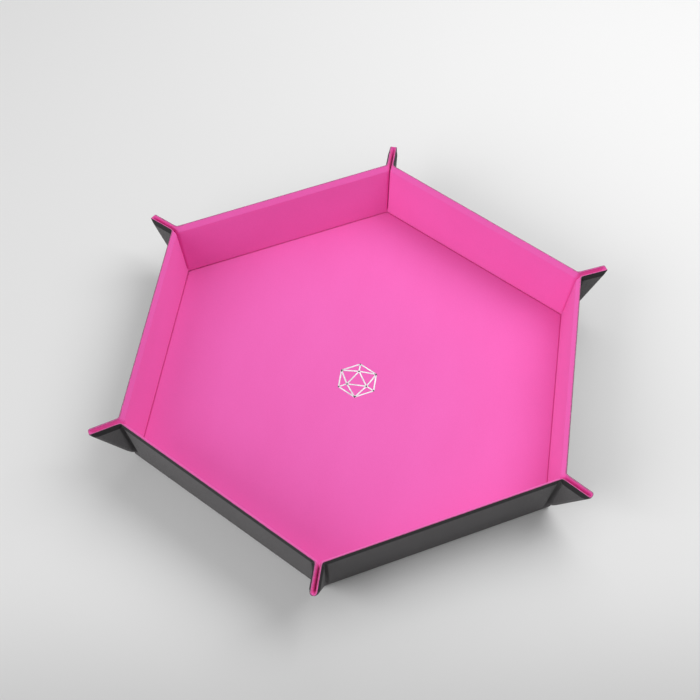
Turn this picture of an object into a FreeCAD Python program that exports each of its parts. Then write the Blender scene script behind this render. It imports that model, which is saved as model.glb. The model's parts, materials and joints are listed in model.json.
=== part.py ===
import FreeCAD, Part
import math
import os
import Sketcher

# Folding dice tray: a hexagonal floor with six walls that fold up along its edges. At each corner the
# spare sheet is pinched outward into an ear of two stiff triangular halves, held shut by a pair of magnets.
# Every panel is a stiff board between an outer cover and an inner lining.
#
# Frame: millimetres, +Z up, origin on the table under the middle of the floor. The tray stands ready for
# use. +X points out through the right wall and +Y through the back corner.

Vector = FreeCAD.Vector
Rotation = FreeCAD.Rotation
Placement = FreeCAD.Placement

SIZES = (
    ("hinge_apothem", 142.0, "middle of the floor to each floor fold line"),
    ("wall_angle", 81.0, "angle between a standing wall and the floor, degrees"),
    ("wall_slant", 45.6, "floor fold line to rim, along the wall"),
    ("cover_thickness", 0.8, "outer skin; the floor folds lie on its inner side"),
    ("board_thickness", 1.9, "stiff board inside each panel"),
    ("lining_thickness", 0.7, "inner skin over a board"),
    ("cover_edge", 0.25, "cover at the pressed rim"),
    ("lining_edge", 1.1, "lining at the pressed rim"),
    ("rim_bevel_outside", 3.0, "width of the pressed band outside the rim"),
    ("rim_bevel_inside", 4.2, "width of the pressed band inside the rim"),
    ("floor_fold_gap", 0.4, "panel edge to floor fold line"),
    ("ear_fold_depth", 0.8, "ear fold line below the lining's face"),
    ("ear_fold_offset", 1.1, "ear fold line to the upright plane of its corner"),
    ("ear_fold_gap", 2.6, "panel edge to ear fold line"),
    ("tip_fold_gap", 2.35, "ear half's edge to the fold between the two halves"),
    ("ear_foot", 9.5, "start of the ear, measured up its fold line"),
    ("board_rim_margin", 4.6, "rim to board"),
    ("board_floor_margin", 3.2, "floor fold line to board"),
    ("board_side_margin", 0.8, "panel edge to board at the ears"),
    ("magnet_diameter", 8.0, "disc magnet"),
    ("magnet_thickness", 1.5, "disc magnet"),
    ("magnet_up", 36.5, "magnet centre up the ear's fold line"),
    ("magnet_out", 8.6, "magnet centre out from the ear's fold line"),
)

WALLS = ("right", "back_right", "back_left", "left", "front_left", "front_right")
SIDES = (("a", 1), ("b", -1))       # the ear half at a wall's anticlockwise end, and the clockwise one

doc = FreeCAD.newDocument("FoldingDiceTray")
sheet = doc.addObject("Spreadsheet::Sheet", "Sizes")
for row, (alias, value, meaning) in enumerate(SIZES, start=1):
    sheet.set(f"A{row}", meaning)
    sheet.set(f"B{row}", str(value))
    sheet.setAlias(f"B{row}", alias)
doc.recompute()

size = {alias: float(sheet.get(alias)) for alias, _, _ in SIZES}


# ---- expressions shared by the outlines --------------------------------------------------------------

def cell(alias):
    return f"Sizes.{alias}"


WALL_ANGLE = "(Sizes.wall_angle * 1 deg)"
CORNER = "(30 deg)"                                       # half the turn from one wall to the next
SPLAY = f"(tan({CORNER}) * cos({WALL_ANGLE}))"            # slope of a wall's ends
SPLAY_LENGTH = f"sqrt(1 + {SPLAY} * {SPLAY})"
LINING_RISE = f"({cell('board_thickness')} + {cell('lining_thickness')})"
EAR_FOLD_RISE = f"({LINING_RISE} - {cell('ear_fold_depth')})"
EAR_FOLD_START = (f"(tan({CORNER}) * ({cell('hinge_apothem')} - {EAR_FOLD_RISE} * sin({WALL_ANGLE}))"
                  f" - {cell('ear_fold_offset')} / cos({CORNER}))")
TIP_ANGLE = f"({CORNER} - atan({SPLAY}))"                 # between an ear's two fold lines
FLOOR_BEVEL = f"tan({WALL_ANGLE} / 2)"


def number(expression):
    return float(sheet.evalExpression(expression))


def add_sketch(body, name, level):
    """An empty sketch across the body's own Z axis, at a level given as an expression."""
    sketch = body.newObject("Sketcher::SketchObject", name)
    plane = next(f for f in body.Origin.OriginFeatures if f.Role == "XY_Plane")
    sketch.AttachmentSupport = [(plane, "")]
    sketch.MapMode = "FlatFace"
    sketch.setExpression("AttachmentOffset.Base.z", level)
    return sketch


def add_polygon(body, name, corners, level):
    """A closed outline at a level along the body's own Z; corners are pairs of expressions."""
    sketch = add_sketch(body, name, level)
    points = [Vector(number(x), number(y), 0) for x, y in corners]
    for start, end in zip(points, points[1:] + points[:1]):
        sketch.addGeometry(Part.LineSegment(start, end), False)
    for i, (point, (x, y)) in enumerate(zip(points, corners)):
        sketch.addConstraint(Sketcher.Constraint("Coincident", i - 1 if i else len(points) - 1, 2, i, 1))
        across = sketch.addConstraint(Sketcher.Constraint("DistanceX", i, 1, point.x))
        sketch.setExpression(f"Constraints[{across}]", x)
        along = sketch.addConstraint(Sketcher.Constraint("DistanceY", i, 1, point.y))
        sketch.setExpression(f"Constraints[{along}]", y)
    return sketch


def add_circle(body, name, x, y, diameter, level):
    sketch = add_sketch(body, name, level)
    centre = Vector(number(x), number(y), 0)
    sketch.addGeometry(Part.Circle(centre, Vector(0, 0, 1), number(diameter) / 2), False)
    across = sketch.addConstraint(Sketcher.Constraint("DistanceX", 0, 3, centre.x))
    sketch.setExpression(f"Constraints[{across}]", x)
    along = sketch.addConstraint(Sketcher.Constraint("DistanceY", 0, 3, centre.y))
    sketch.setExpression(f"Constraints[{along}]", y)
    width = sketch.addConstraint(Sketcher.Constraint("Diameter", 0, number(diameter)))
    sketch.setExpression(f"Constraints[{width}]", diameter)
    return sketch


def add_body(label):
    body = doc.addObject("PartDesign::Body", label)
    body.Label = label
    return body


def add_pad(body, sketch, thickness):
    pad = body.newObject("PartDesign::Pad", f"{body.Label}_pad")
    pad.Profile = sketch
    pad.setExpression("Length", thickness)
    body.Tip = pad


def add_pocket(body, sketch, depth):
    """Cut upward from the sketch into the solid above it."""
    pocket = body.newObject("PartDesign::Pocket", f"{body.Label}_pocket")
    pocket.Profile = sketch
    pocket.Reversed = True
    pocket.setExpression("Length", depth)
    body.Tip = pocket


def add_layers(body, sections):
    """A solid with straight sides through several outlines, from (level, corners) pairs."""
    sketches = [add_polygon(body, f"{body.Label}_outline", corners, level) for level, corners in sections]
    loft = body.newObject("PartDesign::AdditiveLoft", f"{body.Label}_loft")
    loft.Profile = sketches[0]
    loft.Sections = sketches[1:]
    loft.Ruled = True
    body.Tip = loft


# ---- outlines ----------------------------------------------------------------------------------------

def floor_outline(inset):
    """Hexagon whose sides lie the given distance inside the floor fold lines."""
    corners = []
    for k in range(6):
        reach = f"({cell('hinge_apothem')} - {inset}) / cos({CORNER})"
        corners.append((f"{reach} * cos({60 * k + 30} deg)", f"{reach} * sin({60 * k + 30} deg)"))
    return corners


def wall_outline(low, rim, ends):
    """Trapezoid from low up to rim below the wall's edge; ends is the inset from the ear fold lines."""
    top = f"({cell('wall_slant')} - {rim})"
    corners = []
    for height, sign in ((low, -1), (low, 1), (top, 1), (top, -1)):
        half = f"({EAR_FOLD_START} + {height} * {SPLAY} - {ends} * {SPLAY_LENGTH})"
        corners.append((height, f"{sign} * {half}"))
    return corners


def ear_outline(side, rim, inset):
    """Ear half in its own frame: X up its fold line, Y outward; four corners from the foot to the tip."""
    fold_start = f"({cell('hinge_apothem')} * tan({CORNER}) - {EAR_FOLD_START})"
    near = f"({cell('ear_fold_gap')} + {inset})"
    foot = f"({cell('ear_foot')} + {inset})"
    slope = f"tan({TIP_ANGLE})"
    # the tip fold line crosses Y at this distance, and the ear's edge lies a gap inside it
    start = (f"({fold_start} * (cos(atan({SPLAY})) - sin(atan({SPLAY})) * {slope})"
             f" - ({cell('tip_fold_gap')} + {inset}) / cos({TIP_ANGLE}))")
    rim_start = f"(({cell('wall_slant')} - {rim}) * {SPLAY_LENGTH})"
    tip_y = f"(({start} + {slope} * {rim_start}) / (1 - {slope} * {SPLAY}))"
    corners = [
        (foot, near),
        (foot, f"({start} + {slope} * {foot})"),
        (f"({rim_start} + {tip_y} * {SPLAY})", tip_y),
        (f"({rim_start} + {near} * {SPLAY})", near),
    ]
    return [(x, f"{side} * {y}") for x, y in corners]


# ---- floor -------------------------------------------------------------------------------------------

def make_floor():
    parts = []
    cover = add_body("floor_cover")
    outline = floor_outline(cell("floor_fold_gap"))
    add_pad(cover, add_polygon(cover, "floor_cover_outline", outline, "0"), cell("cover_thickness"))
    parts.append(cover)

    board_outline = floor_outline(cell("board_floor_margin"))
    board = add_body("floor_board")
    sketch = add_polygon(board, "floor_board_outline", board_outline, cell("cover_thickness"))
    add_pad(board, sketch, cell("board_thickness"))
    parts.append(board)

    lining = add_body("floor_lining")
    bevelled = f"({cell('floor_fold_gap')} + {LINING_RISE} * {FLOOR_BEVEL})"
    top = f"{cell('cover_thickness')} + {LINING_RISE}"
    add_layers(lining, ((cell("cover_thickness"), outline), (top, floor_outline(bevelled))))
    recess = add_polygon(lining, "floor_lining_recess", board_outline, cell("cover_thickness"))
    add_pocket(lining, recess, cell("board_thickness"))
    parts.append(lining)
    return parts


# ---- walls -------------------------------------------------------------------------------------------

def floor_bevel_at(level):
    """Distance from the floor fold line to the bevelled edge at a level above the fold."""
    return f"({cell('floor_fold_gap')} + {level} * {FLOOR_BEVEL})"


def make_wall(wall, placement):
    """The wall's own frame: X up the wall from the fold line, Y along the fold line, Z toward the lining."""
    gap = cell("floor_fold_gap")
    ends = cell("ear_fold_gap")
    full = wall_outline(gap, "0", ends)

    cover = add_body(f"{wall}_wall_cover")
    add_layers(cover, (
        (f"-{cell('cover_thickness')}", wall_outline(gap, cell("rim_bevel_outside"), ends)),
        (f"-{cell('cover_edge')}", full),
        ("0", full),
    ))

    board_outline = wall_outline(cell("board_floor_margin"), cell("board_rim_margin"),
                                 f"({ends} + {cell('board_side_margin')})")
    board = add_body(f"{wall}_wall_board")
    add_pad(board, add_polygon(board, f"{wall}_board_outline", board_outline, "0"), cell("board_thickness"))

    lining = add_body(f"{wall}_wall_lining")
    add_layers(lining, (
        ("0", full),
        (cell("lining_edge"), wall_outline(floor_bevel_at(cell("lining_edge")), "0", ends)),
        (LINING_RISE, wall_outline(floor_bevel_at(LINING_RISE), cell("rim_bevel_inside"), ends)),
    ))
    recess = add_polygon(lining, f"{wall}_lining_recess", board_outline, "0")
    add_pocket(lining, recess, cell("board_thickness"))

    for piece in (cover, board, lining):
        piece.Placement = placement
    return [cover, board, lining]


# ---- ears --------------------------------------------------------------------------------------------

def make_ear(wall, letter, side, placement):
    """One ear half: skins sealed round a board that holds a magnet. Z = 0 is the ear fold line."""
    name = f"{wall}_ear_{letter}"
    seam = f"-{EAR_FOLD_RISE}"
    outside = f"-({EAR_FOLD_RISE} + {cell('cover_thickness')})"
    full = ear_outline(side, "0", "0")

    cover = add_body(f"{name}_cover")
    add_layers(cover, (
        (outside, ear_outline(side, cell("rim_bevel_outside"), "0")),
        (f"{seam} - {cell('cover_edge')}", full),
        (seam, full),
    ))

    board_outline = ear_outline(side, cell("board_rim_margin"), cell("board_side_margin"))
    magnet_place = (cell("magnet_up"), f"{side} * {cell('magnet_out')}", cell("magnet_diameter"))
    board = add_body(f"{name}_board")
    add_pad(board, add_polygon(board, f"{name}_board_outline", board_outline, seam), cell("board_thickness"))
    hole = add_circle(board, f"{name}_magnet_hole", *magnet_place, seam)
    add_pocket(board, hole, cell("board_thickness"))

    lining = add_body(f"{name}_lining")
    add_layers(lining, (
        (seam, full),
        (f"{seam} + {cell('lining_edge')}", full),
        (cell("ear_fold_depth"), ear_outline(side, cell("rim_bevel_inside"), "0")),
    ))
    recess = add_polygon(lining, f"{name}_lining_recess", board_outline, seam)
    add_pocket(lining, recess, cell("board_thickness"))

    magnet = add_body(f"{name}_magnet")
    magnet_seat = f"{seam} + {cell('board_thickness')} - {cell('magnet_thickness')}"
    disc = add_circle(magnet, f"{name}_magnet_outline", *magnet_place, magnet_seat)
    add_pad(magnet, disc, cell("magnet_thickness"))

    skin = doc.addObject("Part::Compound", f"{name}_skin")
    skin.Label = f"{name}_skin"
    skin.Links = [cover, lining]
    for piece in (skin, board, magnet):
        piece.Placement = placement
    return [skin, board, magnet]


# ---- assembly ----------------------------------------------------------------------------------------

def wall_placement(turn):
    stand = Placement(Vector(size["hinge_apothem"], 0, size["cover_thickness"]),
                      Rotation(Vector(0, 1, 0), -size["wall_angle"]))
    return Placement(Vector(0, 0, 0), Rotation(Vector(0, 0, 1), turn)) * stand


def ear_placement(on_wall, side):
    splay = math.degrees(math.atan(number(SPLAY)))
    closed = math.degrees(math.acos(math.sin(math.radians(size["wall_angle"])) / 2))
    start = Vector(0, side * number(EAR_FOLD_START), number(EAR_FOLD_RISE))
    shut = Rotation(Vector(0, 0, 1), side * splay) * Rotation(Vector(1, 0, 0), -side * closed)
    return on_wall * Placement(start, shut)


subparts = make_floor()
for index, wall_name in enumerate(WALLS):
    standing = wall_placement(60 * index)
    subparts += make_wall(wall_name, standing)
    for ear_letter, ear_side in SIDES:
        subparts += make_ear(wall_name, ear_letter, ear_side, ear_placement(standing, ear_side))
doc.recompute()

faults = [obj.Name for obj in doc.Objects if {"Invalid", "Error"} & set(obj.State)]
if faults:
    raise RuntimeError(f"failed objects: {faults}")
for part in subparts:
    if part.Shape.isNull() or not part.Shape.isValid():
        raise RuntimeError(f"bad shape: {part.Label}")

os.makedirs("parts", exist_ok=True)
for part in subparts:
    part.Shape.exportStep(f"parts/{part.Label}.step")
print(f"{len(subparts)} sub-parts written")
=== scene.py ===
import json
import math

import bmesh
import bpy
from bpy.props import FloatProperty, FloatVectorProperty, IntProperty, PointerProperty
from bpy.types import Operator, Panel, PropertyGroup
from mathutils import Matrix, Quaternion, Vector

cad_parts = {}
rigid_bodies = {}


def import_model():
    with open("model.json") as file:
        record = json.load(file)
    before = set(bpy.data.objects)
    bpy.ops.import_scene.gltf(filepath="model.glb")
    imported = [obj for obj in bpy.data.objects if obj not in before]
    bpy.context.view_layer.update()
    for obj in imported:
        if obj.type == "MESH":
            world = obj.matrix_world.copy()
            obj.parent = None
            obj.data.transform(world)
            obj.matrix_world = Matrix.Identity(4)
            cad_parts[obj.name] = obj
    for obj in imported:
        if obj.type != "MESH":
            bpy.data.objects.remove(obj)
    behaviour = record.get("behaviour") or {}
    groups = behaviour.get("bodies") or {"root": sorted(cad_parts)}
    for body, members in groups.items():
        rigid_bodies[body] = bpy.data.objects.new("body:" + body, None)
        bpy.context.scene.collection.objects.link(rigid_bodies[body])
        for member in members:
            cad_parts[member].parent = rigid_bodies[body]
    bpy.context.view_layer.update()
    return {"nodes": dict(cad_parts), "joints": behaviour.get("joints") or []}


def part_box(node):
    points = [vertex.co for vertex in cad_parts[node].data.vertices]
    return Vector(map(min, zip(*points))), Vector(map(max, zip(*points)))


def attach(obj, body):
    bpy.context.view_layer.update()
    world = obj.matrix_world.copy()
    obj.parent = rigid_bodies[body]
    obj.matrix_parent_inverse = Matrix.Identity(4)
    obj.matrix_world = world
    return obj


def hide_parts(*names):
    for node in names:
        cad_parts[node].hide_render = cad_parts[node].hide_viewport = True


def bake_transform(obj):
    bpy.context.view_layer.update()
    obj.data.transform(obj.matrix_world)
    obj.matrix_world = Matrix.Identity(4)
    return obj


bl_info = {
    "name": "Folding dice tray",
    "version": (1, 0, 0),
    "blender": (4, 5, 0),
    "location": "View3D > Sidebar > Dice tray",
    "description": "Cloth, artificial leather and fittings of a hexagonal tray that folds flat",
    "category": "Object",
}

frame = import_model()

UP = Vector((0.0, 0.0, 1.0))
MM = 0.001
CORNER = math.radians(30.0)  # half the turn from one wall to the next
FOLDS = {joint["name"]: joint for joint in frame["joints"]}
WALLS = [joint["child"] for joint in frame["joints"] if joint["parent"] == "floor"]
FLOOR_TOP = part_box("floor_lining")[1].z
FLOOR_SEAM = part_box("floor_cover")[1].z

# rows and columns of the sheets' meshes
WALL_COLUMNS = 24
END_COLUMNS = 4  # between the wall's own cloth and the corner, below the ear
WALL_ROW = 9 * MM  # longest run between two rows of a wall
EAR_ROW = 3.2 * MM  # longest run between two rows of an ear
FOOT_ROWS = (0.12, 0.28, 0.5, 0.75)  # added rows where the foot of an ear comes together
LIP_ROWS = (0.05, 0.1, 0.18, 0.3, 0.45, 0.65, 0.9, 1.15, 1.5, 2.2, 3.0)  # mm below the rim

# how the cloth settles round the boards of an ear
CLEARANCE = 0.015 * MM  # between two sheets that meet on the plane of a corner
GROOVE_DEPTH = 1.85 * MM  # cover over the ear's fold line, sunk between two boards
GROOVE_BOTTOM = 1.6 * MM  # half the width of that groove where it is deepest
GROOVE_MOUTH = 3.6 * MM  # half the width of that groove where it starts
FOOT_DEPTH = 1.5 * MM  # cover sunk below the ear's board
SOFT_DEPTH = 0.65 * MM  # cover sunk beside the ear's stiff edge
PRESSED_FROM = 5.5 * MM  # below the rim, where the cover starts to be pressed flat
PINCH_FROM = 6 * MM  # below the rim, where an ear half starts to lean toward the other
TIP_PULL = 1.3 * MM  # how far the tip fold is pulled in at the floor
TIP_SOFT = 0.3 * MM  # least width of the soft edge
COVER_TUCK = 0.4  # share of the cover's sinking by which its soft edge gets shorter
FOOT_BLEND = 4.2 * MM  # height over which the ear opens out from the corner of its two walls
SETTLING = 6  # rounds in which a point's place along the fold line settles

# soft lights round the tray, in metres: the middle of each and its width
LIGHTS = {
    "key": ((0.00, 0.75, 0.72), 0.70),
    "side": ((0.50, 0.35, 0.75), 0.75),
    "front": ((-1.25, -1.05, 0.90), 1.5),
}
GROUND_REACH = 4.0  # from the tray's middle to the ground's edges
GROUND_DROP = 0.0002  # the ground lies this far below the tray
GROUND_PAINTED_LIGHT_TOWARD = (-0.14, 0.99, 0.0)  # direction in which the painted shade on the ground gives way to its full colour
GROUND_PAINTED_SHADE_TO = -0.31  # distance from the tray's middle, along that direction, up to which the painted shade is darkest
GROUND_PAINTED_LIGHT_FROM = -0.14


# ---- what a user would change ----------------------------------------------------------------------


def length(name, description, default):
    return FloatProperty(name=name, description=description, default=default,
                         precision=5, unit="LENGTH", subtype="DISTANCE")


def angle(name, description, degrees):
    return FloatProperty(name=name, description=description, default=math.radians(degrees),
                         unit="ROTATION", subtype="ANGLE")


def colour(name, description, default):
    return FloatVectorProperty(name=name, description=description, default=default,
                               size=3, min=0.0, max=1.0, subtype="COLOR")


def share(name, description, default):
    return FloatProperty(name=name, description=description, default=default, min=0.0, max=1.0,
                         subtype="FACTOR")


class TraySizes(PropertyGroup):
    wall_slant: length("Wall height", "Floor fold line to rim, along the wall", 45.6 * MM)
    lining_face: length("Lining face", "Lining's face above the floor fold line",
                        FLOOR_TOP - FLOOR_SEAM)
    cover_face: length("Cover face", "Cover's face below the floor fold line", FLOOR_SEAM)
    rim_inside: length("Inner rim band", "Width of the pressed band inside the rim", 4.2 * MM)
    rim_outside: length("Outer rim band", "Width of the pressed band outside the rim", 4.0 * MM)
    edge_lining: length("Lining edge", "Lining's height at the pressed rim", 0.55 * MM)
    edge_cover: length("Cover edge", "Cover's thickness at the pressed rim", 0.25 * MM)
    seam_height: length("Seam height", "Where cover and lining meet in the rim", 0.05 * MM)
    floor_reach: length("Floor panel", "Middle of the floor to the edge of its flat cloth",
                        138.0 * MM)
    crease_lip: length("Crease lip", "Half the mouth of the crease along the floor", 0.62 * MM)
    crease_floor: length("Crease floor", "Floor fold line to the bottom of the crease", 2.3 * MM)
    outer_bend: length("Outer bend", "Radius of the cover under the foot of a wall", 3.0 * MM)
    ear_strip: length("Ear strip", "Wall cloth that is cut with each ear half", 6.0 * MM)
    fold_radius_foot: length("Ear fold radius, low", "Radius of the ear fold near the floor",
                             1.15 * MM)
    fold_radius_rim: length("Ear fold radius, rim", "Radius of the ear fold at the rim", 3.2 * MM)
    ear_gap: length("Ear gap", "Ear fold line to the upright plane of its corner", 1.1 * MM)
    ear_edge: length("Ear edge", "Ear half's stiff edge at the foot, out from its fold line",
                     -0.404 * MM)
    ear_pinch: length("Ear pinch", "How far each half leans toward the other along its rim",
                      0.65 * MM)
    lip: length("Ear lip", "How far the lining's round lip stands into the ear's channel",
                0.25 * MM)
    tip_reach: length("Tip fold", "Stiff edge to the fold between the halves of an ear", 2.56 * MM)
    tip_round: length("Tip rounding", "Radius of an ear's upper corner", 1.5 * MM)
    ear_foot: length("Ear foot", "Lower end of the ear's board along its fold line", 9.4 * MM)
    mark_radius: length("Foil mark", "Middle of the foil mark to its corners", 14.5 * MM)
    mark_line: length("Foil line", "Width of the foil mark's lines", 1.0 * MM)
    steps: IntProperty(name="Bend steps", description="Facets round each small bend", default=6,
                       min=2, max=24)


class TrayFinishes(PropertyGroup):
    lining_light: colour("Lining, brushed up", "Pink microfibre where the nap stands",
                         (0.97, 0.175, 0.60))
    lining_deep: colour("Lining, brushed down", "Pink microfibre where the nap lies",
                        (0.90, 0.135, 0.50))
    edge_colour: colour("Bare edge", "Cut fibres at the rim", (0.58, 0.14, 0.33))
    cover_light: colour("Cover, high grain", "Charcoal artificial leather", (0.150, 0.143, 0.146))
    cover_deep: colour("Cover, low grain", "Charcoal artificial leather in its creases",
                       (0.045, 0.043, 0.046))
    board_colour: colour("Board", "Grey board", (0.33, 0.31, 0.28))
    magnet_colour: colour("Magnet", "Nickel plating", (0.62, 0.61, 0.59))
    foil_colour: colour("Foil", "Pressed silver foil", (0.86, 0.86, 0.88))
    nap_size: length("Nap", "Width of the tufts of the microfibre", 0.55 * MM)
    grain_size: length("Grain", "Width of the grain of the artificial leather", 0.62 * MM)
    sheen: share("Sheen", "Soft sheen of the microfibre", 0.18)


class TrayStage(PropertyGroup):
    view_turn: angle("View turn", "Camera's turn round the tray", 8.29)
    view_rise: angle("View rise", "Camera's height above the horizon", 53.68)
    view_roll: angle("View roll", "Camera's roll", 0.12)
    view_distance: length("View distance", "Camera to the point it looks at", 1110.8 * MM)
    focal_length: FloatProperty(name="Focal length", description="Camera lens", default=79.02,
                                unit="CAMERA")
    look_at: FloatVectorProperty(name="Look at", description="Point on the floor of the tray",
                                 default=(-9.2 * MM, 25.9 * MM, FLOOR_TOP), size=3,
                                 precision=4, unit="LENGTH", subtype="TRANSLATION")
    ground: colour("Ground", "Plain pale floor", (0.86, 0.86, 0.86))
    sky: FloatProperty(name="Surrounding light", description="Even light from all round",
                       default=0.27, min=0.0)
    key_power: FloatProperty(name="Key light", description="Large soft light, behind",
                             default=1.8, min=0.0, unit="POWER")
    side_power: FloatProperty(name="Side light", description="Large soft light, back right",
                              default=4.6, min=0.0, unit="POWER")
    front_power: FloatProperty(name="Front light", description="Large soft light, front left",
                               default=19.0, min=0.0, unit="POWER")


# ---- finishes --------------------------------------------------------------------------------------


class Wire:
    """An output of a finish's shader nodes. Arithmetic on it adds Math nodes."""

    def __init__(self, finish, socket):
        self.finish = finish
        self.socket = socket

    def maths(self, operation, first, second):
        return self.finish.node("ShaderNodeMath", {"operation": operation}, {0: first, 1: second})

    def __add__(self, other):
        return self.maths("ADD", self, other)

    def __sub__(self, other):
        return self.maths("SUBTRACT", self, other)

    def __rsub__(self, other):
        return self.maths("SUBTRACT", other, self)

    def __mul__(self, other):
        return self.maths("MULTIPLY", self, other)

    __radd__ = __add__
    __rmul__ = __mul__


class Finish:
    """A procedural material, worked out from places on the tray in metres."""

    def __init__(self, name):
        self.material = bpy.data.materials.new(name)
        self.material.use_nodes = True
        self.tree = self.material.node_tree
        self.shader = self.tree.nodes["Principled BSDF"]
        self.place = self.node("ShaderNodeTexCoord", {}, {}, "Object")

    def node(self, kind, settings, inputs, output=0):
        """Add a node: its settings first, then the values or links of its sockets."""
        made = self.tree.nodes.new(kind)
        for key, value in settings.items():
            if key == "stops":
                for stop, (position, level) in zip(made.color_ramp.elements, value):
                    stop.position = position
                    stop.color = (level, level, level, 1.0)
            else:
                setattr(made, key, value)
        for key, value in inputs.items():
            self.feed(made.inputs[key], value)
        return Wire(self, made.outputs[output])

    def feed(self, socket, value):
        if isinstance(value, Wire):
            self.tree.links.new(value.socket, socket)
        else:
            socket.default_value = value

    def noise(self, size, detail=2.0, place=None, roughness=0.5):
        return self.node("ShaderNodeTexNoise", {}, {
            "Vector": place or self.place, "Scale": 1.0 / size, "Detail": detail,
            "Roughness": roughness})

    def ramp(self, value, low, high):
        return self.node("ShaderNodeValToRGB", {"stops": ((low, 0.0), (high, 1.0))}, {0: value})

    def stretched(self, x, y, z):
        return self.node("ShaderNodeVectorMath", {"operation": "MULTIPLY"},
                         {0: self.place, 1: (x, y, z)})

    def mix(self, first, second, factor):
        """One colour turning into another."""
        colours = [value if isinstance(value, Wire) else (*value, 1.0) for value in (first, second)]
        return self.node("ShaderNodeMix", {"data_type": "RGBA"},
                         {"Factor": factor, 6: colours[0], 7: colours[1]}, 2)

    def relief(self, height, depth, strength):
        bump = self.node("ShaderNodeBump", {}, {
            "Height": height, "Distance": depth, "Strength": strength})
        self.feed(self.shader.inputs["Normal"], bump)

    def surface(self, **values):
        names = {"base": "Base Color", "rough": "Roughness", "metal": "Metallic",
                 "coat": "Coat Weight", "coat_rough": "Coat Roughness", "sheen": "Sheen Weight",
                 "sheen_rough": "Sheen Roughness", "sheen_tint": "Sheen Tint",
                 "specular": "Specular IOR Level"}
        for key, value in values.items():
            self.feed(self.shader.inputs[names[key]], value)
        return self.material


def lining_finish(looks):
    """Pink microfibre: a short brushed nap with cloudy strokes and single fibres."""
    finish = Finish("pink microfibre")
    strokes = finish.noise(38 * MM, 3.0, finish.stretched(1.0, 0.45, 1.0))
    tufts = finish.noise(looks.nap_size, 3.0, roughness=0.65)
    fibres = finish.noise(0.22 * MM, 1.0, finish.stretched(1.0, 0.35, 0.6))
    stands = finish.ramp(strokes * 0.3 + tufts * 0.7, 0.25, 0.75)
    base = finish.mix(looks.lining_deep, looks.lining_light, stands)
    base = finish.mix(base, (1.0, 0.22, 0.60), finish.ramp(fibres, 0.62, 0.80) * 0.16)
    finish.relief(tufts * 0.6 + fibres * 0.4, 0.10 * MM, 0.45)
    return finish.surface(base=base, rough=0.80 + tufts * 0.16, sheen=looks.sheen, sheen_rough=0.45,
                          sheen_tint=(1.0, 0.62, 0.85, 1.0), specular=0.22)


def edge_finish(looks):
    """Cut edge of the lining: a darker pink, with some paler fibres."""
    finish = Finish("cut microfibre edge")
    fibres = finish.noise(0.18 * MM, 2.0)
    patches = finish.noise(2.2 * MM, 2.0)
    base = finish.mix(looks.lining_deep, looks.edge_colour, finish.ramp(patches, 0.25, 0.55))
    base = finish.mix(base, (0.80, 0.40, 0.62), finish.ramp(fibres, 0.55, 0.8) * 0.3)
    finish.relief(fibres, 0.08 * MM, 0.5)
    return finish.surface(base=base, rough=0.86 + fibres * 0.1, specular=0.2)


def cover_finish(looks):
    """Charcoal artificial leather with a fine pebbled grain."""
    finish = Finish("charcoal artificial leather")
    wander = finish.noise(1.6 * MM, 2.0)
    place = finish.node("ShaderNodeVectorMath", {"operation": "ADD"}, {
        0: finish.place,
        1: finish.node("ShaderNodeVectorMath", {"operation": "SCALE"}, {
            0: finish.node("ShaderNodeTexNoise", {}, {
                "Vector": finish.place, "Scale": 1.0 / (1.1 * MM), "Detail": 1.0}, 1),
            "Scale": 0.25 * MM})})
    pebbles = finish.node("ShaderNodeTexVoronoi", {"feature": "DISTANCE_TO_EDGE"}, {
        "Vector": place, "Scale": 1.0 / looks.grain_size})
    high = finish.ramp(pebbles, 0.02, 0.28)
    cloud = finish.noise(24 * MM, 3.0)
    base = finish.mix(looks.cover_deep, looks.cover_light,
                      high * 0.55 + cloud * 0.30 + wander * 0.15)
    finish.relief(high * 0.8 + wander * 0.2, 0.06 * MM, 0.55)
    return finish.surface(base=base, rough=0.62 - high * 0.10 + cloud * 0.10, specular=0.42)


def board_finish(looks):
    """Grey board: pressed waste-paper fibres."""
    finish = Finish("grey board")
    flecks = finish.noise(0.9 * MM, 4.0, finish.stretched(1.0, 0.4, 1.0))
    cloud = finish.noise(12 * MM, 2.0)
    base = finish.mix([c * 0.7 for c in looks.board_colour], looks.board_colour,
                      finish.ramp(flecks * 0.7 + cloud * 0.3, 0.3, 0.7))
    finish.relief(flecks, 0.05 * MM, 0.4)
    return finish.surface(base=base, rough=0.88 + cloud * 0.08, specular=0.25)


def magnet_finish(looks):
    """Nickel plating with faint turning marks and dull spots."""
    finish = Finish("nickel plating")
    dull = finish.noise(1.8 * MM, 3.0)
    marks = finish.noise(0.15 * MM, 1.0)
    base = finish.mix([c * 0.85 for c in looks.magnet_colour], looks.magnet_colour, dull)
    finish.relief(marks, 0.01 * MM, 0.3)
    return finish.surface(base=base, metal=1.0, rough=0.22 + dull * 0.2)


def foil_finish(looks):
    """Silver foil pressed into the nap, a little broken where the fibres come through."""
    finish = Finish("pressed silver foil")
    crinkle = finish.noise(0.5 * MM, 3.0)
    cloud = finish.noise(6 * MM, 2.0)
    base = finish.mix([c * 0.72 for c in looks.foil_colour], looks.foil_colour,
                      finish.ramp(crinkle * 0.5 + cloud * 0.5, 0.35, 0.6))
    finish.relief(crinkle, 0.05 * MM, 0.6)
    return finish.surface(base=base, metal=0.75, rough=0.28 + crinkle * 0.25)


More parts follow.
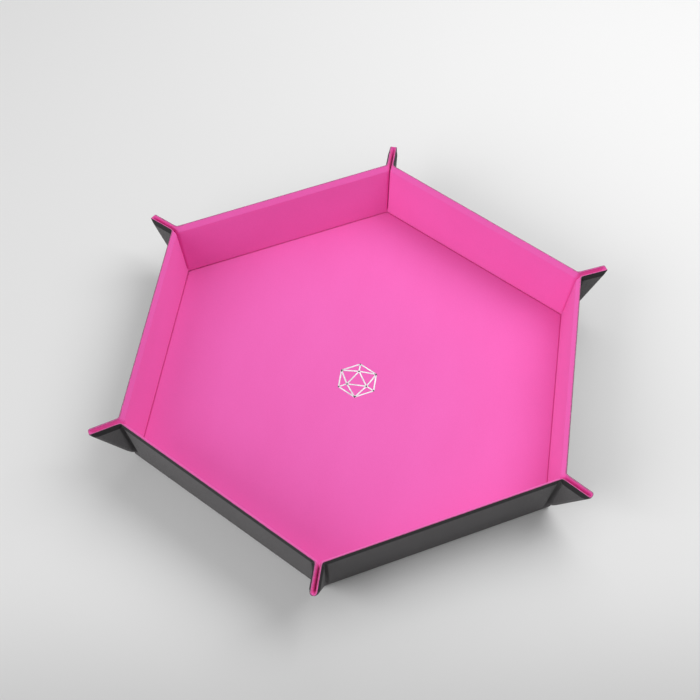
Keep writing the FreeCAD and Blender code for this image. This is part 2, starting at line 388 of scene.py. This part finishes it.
def ground_finish(stage):
    """Matt pale paper, with painted shade: darker in front of the tray than beside and behind it,
    standing in for the light falling off toward the front.
    """
    finish = Finish("pale ground")
    cloud = finish.noise(0.4, 2.0)
    along = finish.node("ShaderNodeVectorMath", {"operation": "DOT_PRODUCT"},
                        {0: finish.place, 1: GROUND_PAINTED_LIGHT_TOWARD}, 1)
    pale = finish.node("ShaderNodeMapRange", {"interpolation_type": "SMOOTHSTEP"},
                       {"Value": along, "From Min": GROUND_PAINTED_SHADE_TO, "From Max": GROUND_PAINTED_LIGHT_FROM})
    # painted shade: 0.70 of the ground's colour in front of the tray, easing to its full colour
    # behind it
    base = finish.mix([c * 0.70 for c in stage.ground], stage.ground, pale * 0.97 + cloud * 0.03)
    return finish.surface(base=base, rough=0.9, specular=0.1)


def pressed_shaded_finish(looks):
    """Artificial leather pressed flat along the rim: smoother than the rest, and darker by painted
    shade and painted reflection.
    """
    finish = Finish("pressed artificial leather")
    wander = finish.noise(0.8 * MM, 2.0)
    cloud = finish.noise(18 * MM, 2.0)
    # painted shade: 0.4 to 0.6 of the cover's deepest colour, darker than any of the cover's own
    # grain
    base = finish.mix([c * 0.4 for c in looks.cover_deep], [c * 0.6 for c in looks.cover_deep],
                      wander * 0.5 + cloud * 0.5)
    finish.relief(wander, 0.03 * MM, 0.4)
    return finish.surface(base=base, rough=0.55 + cloud * 0.12, specular=0.25)


# the cover's second finish, pressed, carries the painted shade of the rim band
LAYERS = {"lining": ["lining", "edge"], "cover": ["cover", "pressed"]}
FINISHES = {"lining": lining_finish, "edge": edge_finish, "cover": cover_finish,
            "pressed": pressed_shaded_finish, "board": board_finish, "magnet": magnet_finish,
            "foil": foil_finish}
made_finishes = {}


def finish_of(name):
    """The tray's own material of that name, made once."""
    if name not in made_finishes:
        made_finishes[name] = FINISHES[name](bpy.context.scene.tray_finishes)
    return made_finishes[name]


# ---- shapes ----------------------------------------------------------------------------------------


def ease(low, high, value):
    """0 below low, 1 above high and smooth between."""
    t = min(max((value - low) / (high - low), 0.0), 1.0)
    return t * t * (3.0 - 2.0 * t)


def rounded(corners, steps, support=0.2 * MM):
    """A line through (x, y, radius) corners, rounded, with a point beside each bend."""
    points = [Vector(corner[:2]) for corner in corners]
    reaches = [0.0] * len(points)
    for i in range(1, len(points) - 1):
        turn = (points[i - 1] - points[i]).angle(points[i + 1] - points[i])
        reaches[i] = corners[i][2] / math.tan(turn / 2)
    path = [points[0]]
    for i in range(1, len(points) - 1):
        back = (points[i - 1] - points[i]).normalized()
        on = (points[i + 1] - points[i]).normalized()
        if not reaches[i]:
            path.append(points[i])
            continue
        radius = corners[i][2]
        centre = points[i] + (back + on).normalized() * math.hypot(radius, reaches[i])
        start = points[i] + back * reaches[i] - centre
        sweep = start.angle_signed(points[i] + on * reaches[i] - centre)
        if (points[i - 1] - points[i]).length - reaches[i - 1] - reaches[i] > 3 * support:
            path.append(centre + start + back * support)
        for k in range(steps + 1):
            part = -sweep * k / steps
            path.append(centre + Vector((start.x * math.cos(part) - start.y * math.sin(part),
                                         start.x * math.sin(part) + start.y * math.cos(part))))
        if (points[i + 1] - points[i]).length - reaches[i + 1] - reaches[i] > 3 * support:
            path.append(points[i] + on * (reaches[i] + support))
    path.append(points[-1])
    return path


def filled(path, longest):
    """The line with points added so that no run is longer than that."""
    dense = [path[0]]
    for start, end in zip(path, path[1:]):
        parts = max(1, math.ceil((end - start).length / longest))
        dense += [start.lerp(end, k / parts) for k in range(1, parts + 1)]
    return dense


def spaced(low, high, parts):
    return [low + (high - low) * k / parts for k in range(parts + 1)]


class Cloth:
    """A sheet under construction: quads between rows of points."""

    def __init__(self):
        self.mesh = bmesh.new()

    def grid(self, rows, material=lambda row, column: 0):
        """Quads between rows of points of one length. material picks each quad's finish."""
        made = [[self.mesh.verts.new(point) for point in row] for row in rows]
        for i, (low, high) in enumerate(zip(made, made[1:])):
            for j in range(len(low) - 1):
                corners = (low[j], low[j + 1], high[j + 1], high[j])
                face = self.mesh.faces.new(corners)
                face.material_index = material(i, j)

    def finished(self, name, toward, materials):
        """The object, with its faces turned toward a direction and its doubled points joined."""
        bmesh.ops.remove_doubles(self.mesh, verts=self.mesh.verts, dist=0.003 * MM)
        bmesh.ops.dissolve_degenerate(self.mesh, edges=self.mesh.edges, dist=0.001 * MM)
        bmesh.ops.recalc_face_normals(self.mesh, faces=self.mesh.faces)
        largest = max(self.mesh.faces, key=lambda face: face.calc_area())
        if largest.normal.dot(toward) < 0:
            bmesh.ops.reverse_faces(self.mesh, faces=self.mesh.faces)
        for face in self.mesh.faces:
            face.smooth = True
        data = bpy.data.meshes.new(name)
        self.mesh.to_mesh(data)
        self.mesh.free()
        for material in materials:
            data.materials.append(finish_of(material))
        made = bpy.data.objects.new(name, data)
        bpy.context.scene.collection.objects.link(made)
        return made


class Wall:
    """A standing wall: out and up from its fold line, along it, and in toward the lining."""

    def __init__(self, body):
        fold = FOLDS[f"{body}_fold"]
        self.body = body
        self.stem = body.removesuffix("_wall")
        self.hinge = Vector(fold["pos_m"])
        self.along = Vector(fold["axis"]).normalized()
        self.out = self.along.cross(UP)
        # the wall's slope as it stands, which is also how far it folds out
        self.angle = math.radians(fold["range_deg"][1])
        self.up = self.out * math.cos(self.angle) + UP * math.sin(self.angle)
        self.inward = UP * math.cos(self.angle) - self.out * math.sin(self.angle)
        # across the fold, from floor to wall, and into the tray
        self.across = (self.out + self.up).normalized()
        self.into = (UP + self.inward).normalized()

    def on_floor(self, out, height):
        return self.hinge + self.out * out + UP * height

    def on_wall(self, up, height):
        return self.hinge + self.up * up + self.inward * height

    def in_crease(self, across, depth):
        return self.hinge + self.across * across + self.into * depth

    def mitre(self, point):
        """Half the length of the wall at a point of its section, where it meets its neighbour."""
        return point.dot(self.out) * math.tan(CORNER) - CLEARANCE


class Ear:
    """Half of an ear and the strip of wall beside it. x runs up the fold line, a across it."""

    def __init__(self, wall, letter, sizes):
        self.wall = wall
        self.sizes = sizes
        self.body = f"{wall.stem}_ear_{letter}"
        fold = FOLDS[f"{self.body}_fold"]
        side = 1.0 if letter == "a" else -1.0
        self.upward = Vector(fold["axis"]).normalized() * side
        self.toward = wall.inward.cross(self.upward) * side
        reach = Vector(fold["pos_m"]) - wall.hinge
        # the fold line's lean from straight up the wall, and its height over the wall's fold plane
        self.tilt = math.asin(abs(self.upward.dot(wall.along)))
        self.rise = reach.dot(wall.inward)
        height = reach.dot(wall.up)
        # the fold line's lower end, level with the floor fold, and how far along the wall it is
        self.base = Vector(fold["pos_m"]) - self.upward * (height / math.cos(self.tilt))
        self.start = abs(reach.dot(wall.along)) - height * math.tan(self.tilt)
        # from flat in the wall's plane to pinched, with the half's own directions when pinched
        self.turn = math.acos(math.sin(wall.angle) / 2)
        self.out = self.toward * math.cos(self.turn) - wall.inward * math.sin(self.turn)
        self.normal = wall.inward * math.cos(self.turn) + self.toward * math.sin(self.turn)
        # how fast the half widens up its fold line
        self.slope = math.tan(CORNER - self.tilt)

    def half_length(self, up):
        """Half the length of the wall's own cloth at a height, where the ear's strip begins."""
        return self.start + up * math.tan(self.tilt) - self.sizes.ear_strip / math.cos(self.tilt)

    def radius(self, x):
        s = self.sizes
        return s.fold_radius_foot + (s.fold_radius_rim - s.fold_radius_foot) * ease(
            0.25 * s.wall_slant, s.wall_slant, x)

    def bent(self, x, a, level):
        """A point of the cloth where it bends round the fold line."""
        radius = self.radius(x)
        reach = radius * math.tan(self.turn / 2)
        if a <= -reach:
            offset = self.toward * a + self.wall.inward * level
        elif a >= reach:
            offset = self.out * a + self.normal * level
        else:
            part = self.turn * (a + reach) / (2 * reach)
            arm = self.wall.inward * math.cos(part) + self.toward * math.sin(part)
            offset = arm * (radius + level) - self.toward * reach - self.wall.inward * radius
        return self.base + self.upward * x + offset

    def edge(self, x):
        """The stiff edge of the ear half, out from the fold line."""
        return max(self.sizes.ear_edge + self.slope * x,
                   self.radius(x) * math.tan(self.turn / 2) + 0.3 * MM)

    def tip_fold(self, x):
        """The soft fold to the ear's other half, out from the fold line."""
        pulled = TIP_PULL * ease(self.sizes.ear_foot, 1.5 * MM, x)
        return self.sizes.ear_edge + self.slope * x + self.sizes.tip_reach - pulled

    def top(self, from_tip):
        """Height of the rim at a distance from the tip fold: the upper corner is rounded."""
        slant, radius = self.sizes.wall_slant, self.sizes.tip_round
        if from_tip >= 1.5 * radius:
            return slant
        offset = radius - max(from_tip, 0.0)
        reach = math.sqrt(radius * radius - offset * offset)
        return slant - radius - offset * math.sin(CORNER) + reach * math.cos(CORNER)

    def lift(self, x, a, up):
        """How far the cover sinks between the boards, at the ear's foot and at its soft edge."""
        s = self.sizes
        groove = GROOVE_DEPTH * (1 - ease(GROOVE_BOTTOM, GROOVE_MOUTH, abs(a)))
        below = ease(s.ear_foot + 0.7 * MM, s.ear_foot - 1.4 * MM, x)
        foot = FOOT_DEPTH * below * ease(0, 1.5 * MM, a)
        edge = self.edge(x)
        soft = SOFT_DEPTH * ease(edge - 1.2 * MM, edge - 0.1 * MM, a) * (a > 0)
        pressed = ease(s.wall_slant - PRESSED_FROM, s.wall_slant - 0.6 * MM, up)
        return max(groove, foot, soft) * (1 - pressed)

    def pinch(self, up, a, reach):
        """How far the pressed rim leans toward the ear's other half."""
        s = self.sizes
        near_rim = ease(s.wall_slant - PINCH_FROM, s.wall_slant, up)
        return s.ear_pinch * self.inside(a, reach) * near_rim

    def inside(self, a, reach):
        """0 on the wall, 1 well inside the ear."""
        return ease(-reach, reach + 2.5 * MM, a)

    def channel(self, up):
        """The lining's level inside the ear: a round lip, then a channel that closes below."""
        s = self.sizes
        depth = s.wall_slant - up
        edge = s.edge_lining - self.rise + s.ear_pinch
        turned = 1.0 - min(depth / (0.6 * MM), 1.0)
        closed = s.ear_gap - 0.04 * MM - edge - s.lip
        return edge + s.lip * math.sqrt(1.0 - turned ** 2) + closed * ease(0.5 * MM, 8.0 * MM, depth)

    def skin(self, up, column, height, foot, cover):
        """A point of the skin. column runs 0-1 over the wall's strip, 1-2 round the fold, 2-3
        over the ear and 3-4 round the soft edge to the plane where the halves meet."""
        s = self.sizes
        tip = 0.0
        x = up / math.cos(self.tilt)
        for _ in range(SETTLING):
            reach = self.radius(x) * math.tan(self.turn / 2)
            edge = self.edge(x)
            if column <= 1:
                a = -s.ear_strip + (s.ear_strip - reach) * column
            elif column <= 2:
                a = -reach + 2 * reach * (column - 1)
            else:
                a = reach + (edge - reach) * min(column - 2, 1.0)
            pinch = self.pinch(up, a, reach)
            level = height - self.rise + pinch
            if cover:
                level += self.lift(x, a, up)
            elif height > s.seam_height + 0.01 * MM:
                level += (self.channel(up) - level) * self.inside(a, reach)
            if column > 3:
                sunk = level - pinch + self.rise + s.edge_cover
                soft = self.tip_fold(x) - edge - sunk * (COVER_TUCK if cover else 1.0)
                tip = max(soft, TIP_SOFT) * math.sin((column - 3) * math.pi / 2)
            from_tip = (self.tip_fold(x) - a - tip) * math.cos(CORNER - self.tilt)
            scale = (self.top(from_tip) - foot) / (s.wall_slant - foot)
            height_up = foot + (up - foot) * scale
            x = (height_up + (a + tip) * math.sin(self.tilt)) / math.cos(self.tilt)
        if column > 3:
            meet = s.ear_gap - CLEARANCE
            level = meet - (meet - level) * math.cos((column - 3) * math.pi / 2)
        shaped = self.bent(x, a + tip, level)
        # near the floor the skin comes together along the plane where the two walls meet
        flat_level = height - self.rise
        end = (s.ear_gap - flat_level * math.cos(self.turn)) / math.sin(self.turn) - 0.06 * MM
        flat_a = a if column <= 1 else -reach + (end + reach) * min((column - 1) / 2, 1.0)
        flat_x = (height_up + flat_a * math.sin(self.tilt)) / math.cos(self.tilt)
        flat = (self.base + self.upward * flat_x + self.toward * flat_a
                + self.wall.inward * flat_level)
        return flat.lerp(shaped, ease(foot, foot + FOOT_BLEND, height_up))


def rim_section(sizes, foot, cover):
    """The skin's section from a height on the wall up to the seam in the rim: (up, height)."""
    if cover:
        face, band, edge, soft = -sizes.cover_face, sizes.rim_outside, -sizes.edge_cover, 0.30 * MM
    else:
        face, band, edge, soft = sizes.lining_face, sizes.rim_inside, sizes.edge_lining, 0.12 * MM
    top = sizes.wall_slant
    corners = [(foot, face, 0), (top - band, face, 2.2 * MM), (top, edge, soft)]
    return rounded(corners + [(top, sizes.seam_height, 0)], sizes.steps)


def band_of(section, longest, sizes, cover):
    """Which runs of a section take the second finish, as a function of the run's number: the bare
    edge of the lining, and the cover's pressed band with its painted shade.
    """
    path = filled(section, longest)
    width = sizes.rim_outside if cover else 0.5 * MM
    pressed = [start.x > sizes.wall_slant - width for start in path]
    return lambda run: int(run >= 0 and pressed[run])


def lining_section(wall, sizes):
    """Floor, crease and lower wall in (across, depth) from the fold line, and the foot's height."""
    half = wall.angle / 2
    lip = sizes.lining_face * math.tan(half) + sizes.crease_lip
    foot = lip + 0.6 * MM

    def crease(out, height, side):
        return (side * (-out * math.cos(half) + height * math.sin(half)),
                out * math.sin(half) + height * math.cos(half))

    start = wall.hinge.dot(wall.out) - sizes.floor_reach
    across, depth = crease(lip, sizes.lining_face, 1)
    deep = sizes.crease_floor
    corners = [
        (*crease(start, sizes.lining_face, 1), 0), (across, depth, 0.35 * MM),
        (-0.32 * MM, depth - 0.6 * MM, 0.5 * MM), (-0.24 * MM, deep, 0.16 * MM),
        (0.24 * MM, deep, 0.16 * MM), (0.32 * MM, depth - 0.6 * MM, 0.5 * MM),
        (-across, depth, 0.35 * MM), (*crease(foot, sizes.lining_face, -1), 0)]
    return rounded(corners, sizes.steps), foot


# across an ear: the wall's strip, the fold, the half itself and its soft edge
EAR_COLUMNS = (
    spaced(0, 1, 10) + spaced(1, 2, 12)[1:]
    + [2.04, 2.08, 2.12, 2.16, 2.2, 2.3, 2.45, 2.6, 2.75, 2.85, 2.9, 2.94, 2.97, 3.0]
    + spaced(3, 4, 8)[1:])


# ---- operators -------------------------------------------------------------------------------------


class TRAY_OT_floor(Operator):
    """Lining and cover of the floor panel"""

    bl_idname = "tray.floor"
    bl_label = "Floor"

    def execute(self, context):
        sizes = context.scene.tray_sizes
        reach = sizes.floor_reach / math.cos(CORNER)
        rings = 23
        for name, level, toward in (("lining", FLOOR_TOP, UP), ("cover", 0.0, -UP)):
            cloth = Cloth()
            for k in range(6):
                turns = [CORNER * (2 * k + side) for side in (-1, 1)]
                corners = [Vector((math.cos(turn), math.sin(turn), 0)) for turn in turns]
                for ring in range(rings):
                    inner, outer = reach * ring / rings, reach * (ring + 1) / rings
                    near = [corners[0].lerp(corners[1], t) * inner + UP * level
                            for t in spaced(0, 1, max(ring, 1))]
                    far = [corners[0].lerp(corners[1], t) * outer + UP * level
                           for t in spaced(0, 1, ring + 1)]
                    self.ring(cloth, near, far, ring)
            made = cloth.finished(f"floor_{name}_sheet", toward, [name])
            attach(made, "floor")
            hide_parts(f"floor_{name}")
        return {"FINISHED"}

    def ring(self, cloth, near, far, count):
        """Triangles between two rows of points, the outer one point longer."""
        low = [cloth.mesh.verts.new(point) for point in near]
        high = [cloth.mesh.verts.new(point) for point in far]
        if count == 0:
            cloth.mesh.faces.new((low[0], high[0], high[1]))
            return
        for j in range(count + 1):
            cloth.mesh.faces.new((low[j], high[j], high[j + 1]))
            if j < count:
                cloth.mesh.faces.new((low[j], high[j + 1], low[j + 1]))


class TRAY_OT_walls(Operator):
    """Lining and cover of the six walls, with the folds that join them to the floor"""

    bl_idname = "tray.walls"
    bl_label = "Walls"

    def execute(self, context):
        sizes = context.scene.tray_sizes
        for body in WALLS:
            wall = Wall(body)
            ear = Ear(wall, "a", sizes)
            self.lining(wall, ear, sizes)
            self.cover(wall, ear, sizes)
        return {"FINISHED"}

    def build(self, wall, ear, low, high, name, toward, kind, banded):
        """low rows run to the mitre with the next wall, high rows only to the ears' strips."""
        columns = spaced(-1, 1, WALL_COLUMNS)
        cloth = Cloth()
        middle, ends = [], ([], [])
        for point, up in low:
            half = ear.half_length(max(up, 0.0))
            reach = wall.mitre(point)
            middle.append([point + wall.along * half * t for t in columns])
            for side, rows in zip((-1, 1), ends):
                rows.append([point + wall.along * side * (half + (reach - half) * t)
                             for t in spaced(0, 1, END_COLUMNS)])
        for point, up in high:
            half = ear.half_length(up)
            middle.append([point + wall.along * half * t for t in columns])
        cloth.grid(middle, lambda row, column: banded(row - len(low) + 1))
        for rows in ends:
            cloth.grid(rows)
        return cloth.finished(name, toward, LAYERS[kind])

    def declare(self, made, wall, ear, sizes, kind, spread):
        """spread, half the width of the cloth that bends between floor and wall, is not used."""
        wall.hinge - wall.across * spread
        wall.hinge + wall.across * spread
        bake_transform(made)
        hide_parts(f"{wall.stem}_wall_{kind}")
        tall = sizes.wall_slant + wall.hinge.dot(wall.out) - sizes.floor_reach
        width = 2 * ear.half_length(sizes.wall_slant)
        tall * (width + 2 * ear.half_length(0.0)) / 2

    def lining(self, wall, ear, sizes):
        path, foot = lining_section(wall, sizes)
        low = [(wall.in_crease(*point), 0.0) for point in path]
        low[-1] = (wall.on_wall(foot, sizes.lining_face), foot)
        rim = rim_section(sizes, foot, False)
        high = [(wall.on_wall(*point), point.x) for point in filled(rim, WALL_ROW)[1:]]
        made = self.build(wall, ear, low, high, f"{wall.body}_lining_sheet", wall.inward, "lining",
                          band_of(rim, WALL_ROW, sizes, False))
        self.declare(made, wall, ear, sizes, "lining", spread=0.5 * MM)

    def cover(self, wall, ear, sizes):
        half, radius, face = wall.angle / 2, sizes.outer_bend, sizes.cover_face
        corner = face * math.tan(half)
        tangent = radius * math.tan(half)
        foot = tangent - corner + 0.5 * MM
        low = [(wall.on_floor(sizes.floor_reach - wall.hinge.dot(wall.out), -face), 0.0),
               (wall.on_floor(corner - tangent - 0.25 * MM, -face), 0.0)]
        centre = wall.on_floor(corner - tangent, radius - face)
        for part in spaced(0.0, wall.angle, 2 * sizes.steps):
            arm = wall.out * math.sin(part) - UP * math.cos(part)
            low.append((centre + arm * radius, 0.0))
        low.append((wall.on_wall(foot, -face), foot))
        rim = rim_section(sizes, foot, True)
        high = [(wall.on_wall(*point), point.x) for point in filled(rim, WALL_ROW)[1:]]
        made = self.build(wall, ear, low, high, f"{wall.body}_cover_sheet", -wall.inward, "cover",
                          band_of(rim, WALL_ROW, sizes, True))
        self.declare(made, wall, ear, sizes, "cover", spread=radius - 1.05 * MM)


class TRAY_OT_ears(Operator):
    """Lining and cover of the twelve ear halves, with the folds that join them to the walls"""

    bl_idname = "tray.ears"
    bl_label = "Ears"

    def execute(self, context):
        sizes = context.scene.tray_sizes
        for body in WALLS:
            wall = Wall(body)
            for letter in "ab":
                ear = Ear(wall, letter, sizes)
                lining = self.sheet(ear, sizes, False)
                cover = self.sheet(ear, sizes, True)
                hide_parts(f"{ear.body}_skin")
                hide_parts(f"{ear.body}_skin")
        return {"FINISHED"}

    def sheet(self, ear, sizes, cover):
        wall = ear.wall
        if cover:
            kind, toward = "cover", -wall.inward
            half = wall.angle / 2
            foot = (sizes.outer_bend - sizes.cover_face) * math.tan(half) + 0.5 * MM
        else:
            kind, toward = "lining", wall.inward
            foot = lining_section(wall, sizes)[1]
        rim = filled(rim_section(sizes, foot, cover), EAR_ROW)
        low = [rim[0].lerp(rim[1], t) for t in FOOT_ROWS]
        rim = rim[:1] + low + rim[1:]
        if not cover:
            rim = self.with_lip(rim, sizes.wall_slant)
        rows = [[ear.skin(point.x, column, point.y, foot, cover) for column in EAR_COLUMNS]
                for point in rim]
        cloth = Cloth()
        banded = band_of(rim, WALL_ROW, sizes, cover)
        cloth.grid(rows, lambda row, column: banded(row))
        if not cover:
            # the soft edge's own thickness, on the plane where the two halves meet
            rim_level = sizes.wall_slant - 0.001 * MM
            depths = [min(point.y, sizes.seam_height) if point.x > rim_level else -0.2 * MM
                      for point in rim]
            closing = [[row[-1], ear.skin(point.x, 4.0, depth, foot, False)]
                       for row, point, depth in zip(rows, rim, depths)]
            cloth.grid(closing)
        made = cloth.finished(f"{ear.body}_{kind}_sheet", toward, LAYERS[kind])
        middle = ear.base + ear.upward * sizes.wall_slant / 2
        across = (ear.toward + ear.out).normalized() * 1.55 * MM
        middle - across
        middle + across
        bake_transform(made)
        tall = sizes.wall_slant - foot
        low_width = sizes.ear_strip + ear.tip_fold(foot)
        top_width = sizes.ear_strip + ear.tip_fold(sizes.wall_slant)
        tall * (low_width + top_width) / 2
        return made

    def with_lip(self, section, slant):
        """The section with rows added where the ear's lining turns over into its channel."""
        rows = list(section)
        for depth in LIP_ROWS:
            up = slant - depth * MM
            for i, (start, end) in enumerate(zip(rows, rows[1:])):
                if start.x + 0.03 * MM < up < end.x - 0.03 * MM:
                    rows.insert(i + 1, start.lerp(end, (up - start.x) / (end.x - start.x)))
                    break
        return rows


class TRAY_OT_mark(Operator):
    """Plain foil outline of a twenty-sided die in the middle of the floor"""

    bl_idname = "tray.mark"
    bl_label = "Foil mark"

    def execute(self, context):
        sizes = context.scene.tray_sizes
        outer = [Vector((math.sin(CORNER * 2 * k), math.cos(CORNER * 2 * k), 0)) * sizes.mark_radius
                 for k in range(6)]
        inner_share = 0.56  # size of the die's near face in its outline
        inner = [outer[k] * inner_share for k in (0, 2, 4)]
        lines = list(zip(outer, outer[1:] + outer[:1])) + list(zip(inner, inner[1:] + inner[:1]))
        for k, point in enumerate(inner):
            lines += [(point, outer[(2 * k + step) % 6]) for step in (-1, 0, 1)]
        mesh = bmesh.new()
        for start, end in lines:
            self.line(mesh, start, end, sizes.mark_line / 2)
        data = bpy.data.meshes.new("floor_foil_mark")
        mesh.to_mesh(data)
        mesh.free()
        data.materials.append(finish_of("foil"))
        made = bpy.data.objects.new("floor_foil_mark", data)
        context.scene.collection.objects.link(made)
        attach(made, "floor")
        return {"FINISHED"}

    def line(self, mesh, start, end, half):
        """A flat line with round ends, a fraction of a millimetre thick."""
        lift, thickness = 0.01 * MM, 0.05 * MM
        direction = (end - start).normalized()
        across = UP.cross(direction)
        outline = []
        for centre, turn in ((end, 1), (start, -1)):
            for part in spaced(-math.pi / 2, math.pi / 2, 6):
                arm = direction * math.cos(part) * turn + across * math.sin(part) * turn
                outline.append(centre + arm * half)
        face = mesh.faces.new([mesh.verts.new(point + UP * (FLOOR_TOP + lift)) for point in outline])
        face.normal_update()
        if face.normal.z < 0:
            face.normal_flip()
        top = bmesh.ops.extrude_face_region(mesh, geom=[face])["geom"]
        bmesh.ops.translate(mesh, vec=UP * thickness,
                            verts=[item for item in top if isinstance(item, bmesh.types.BMVert)])


class TRAY_OT_stiffening(Operator):
    """Finish of the boards and magnets inside the panels"""

    bl_idname = "tray.stiffening"
    bl_label = "Boards and magnets"

    def execute(self, context):
        for name, node in frame["nodes"].items():
            kind = name.rsplit("_", 1)[1]
            if kind in ("board", "magnet"):
                node.data.materials.clear()
                node.data.materials.append(finish_of(kind))
        return {"FINISHED"}


class TRAY_OT_stage(Operator):
    """Pale ground, soft lights and the camera"""

    bl_idname = "tray.stage"
    bl_label = "Stage"

    def execute(self, context):
        stage = context.scene.tray_stage
        mesh = bmesh.new()
        bmesh.ops.create_grid(mesh, x_segments=8, y_segments=8, size=GROUND_REACH)
        data = bpy.data.meshes.new("ground")
        mesh.to_mesh(data)
        mesh.free()
        data.materials.append(ground_finish(stage))
        ground = bpy.data.objects.new("ground", data)
        ground.location.z = -GROUND_DROP
        context.scene.collection.objects.link(ground)
        for name, (place, size) in LIGHTS.items():
            self.light(name, place, size, getattr(stage, f"{name}_power"))
        world = bpy.data.worlds.new("surrounding light")
        world.use_nodes = True
        background = world.node_tree.nodes["Background"]
        background.inputs["Color"].default_value = (1.0, 1.0, 1.0, 1.0)
        background.inputs["Strength"].default_value = stage.sky
        context.scene.world = world
        context.scene.view_settings.view_transform = "Standard"
        self.camera(context, stage)
        return {"FINISHED"}

    def light(self, name, place, size, power):
        data = bpy.data.lights.new(name, "AREA")
        data.shape = "DISK"
        data.size = size
        data.energy = power
        made = bpy.data.objects.new(name, data)
        made.location = place
        made.rotation_mode = "QUATERNION"
        made.rotation_quaternion = (-Vector(place)).to_track_quat("-Z", "Y")
        bpy.context.scene.collection.objects.link(made)

    def camera(self, context, stage):
        data = bpy.data.cameras.new("camera")
        data.lens = stage.focal_length
        data.clip_start = 0.01
        data.clip_end = 20.0
        made = bpy.data.objects.new("camera", data)
        turn, rise = stage.view_turn, stage.view_rise
        back = Vector((math.sin(turn) * math.cos(rise), -math.cos(turn) * math.cos(rise),
                       math.sin(rise)))
        made.location = Vector(stage.look_at) + back * stage.view_distance
        made.rotation_mode = "QUATERNION"
        roll = Quaternion((0.0, 0.0, 1.0), stage.view_roll)
        made.rotation_quaternion = (-back).to_track_quat("-Z", "Y") @ roll
        context.scene.collection.objects.link(made)
        context.scene.camera = made


class TRAY_PT_panel(Panel):
    """Builds the tray piece by piece"""

    bl_idname = "TRAY_PT_panel"
    bl_label = "Folding dice tray"
    bl_space_type = "VIEW_3D"
    bl_region_type = "UI"
    bl_category = "Dice tray"

    def draw(self, context):
        for operator in OPERATORS:
            self.layout.operator(operator.bl_idname)
        for name, group in GROUPS.items():
            box = self.layout.box()
            for field in group.__annotations__:
                box.prop(getattr(context.scene, name), field)


OPERATORS = (TRAY_OT_stage, TRAY_OT_floor, TRAY_OT_walls, TRAY_OT_ears, TRAY_OT_mark,
             TRAY_OT_stiffening)
GROUPS = {"tray_sizes": TraySizes, "tray_finishes": TrayFinishes, "tray_stage": TrayStage}


def register():
    for item in (*GROUPS.values(), *OPERATORS, TRAY_PT_panel):
        bpy.utils.register_class(item)
    for name, group in GROUPS.items():
        setattr(bpy.types.Scene, name, PointerProperty(type=group))


def unregister():
    for name in GROUPS:
        delattr(bpy.types.Scene, name)
    for item in (TRAY_PT_panel, *reversed(OPERATORS), *GROUPS.values()):
        bpy.utils.unregister_class(item)


def main():
    register()
    bpy.ops.tray.stage()
    bpy.ops.tray.floor()
    bpy.ops.tray.walls()
    bpy.ops.tray.ears()
    bpy.ops.tray.mark()
    bpy.ops.tray.stiffening()


if __name__ == "__main__":
    main()
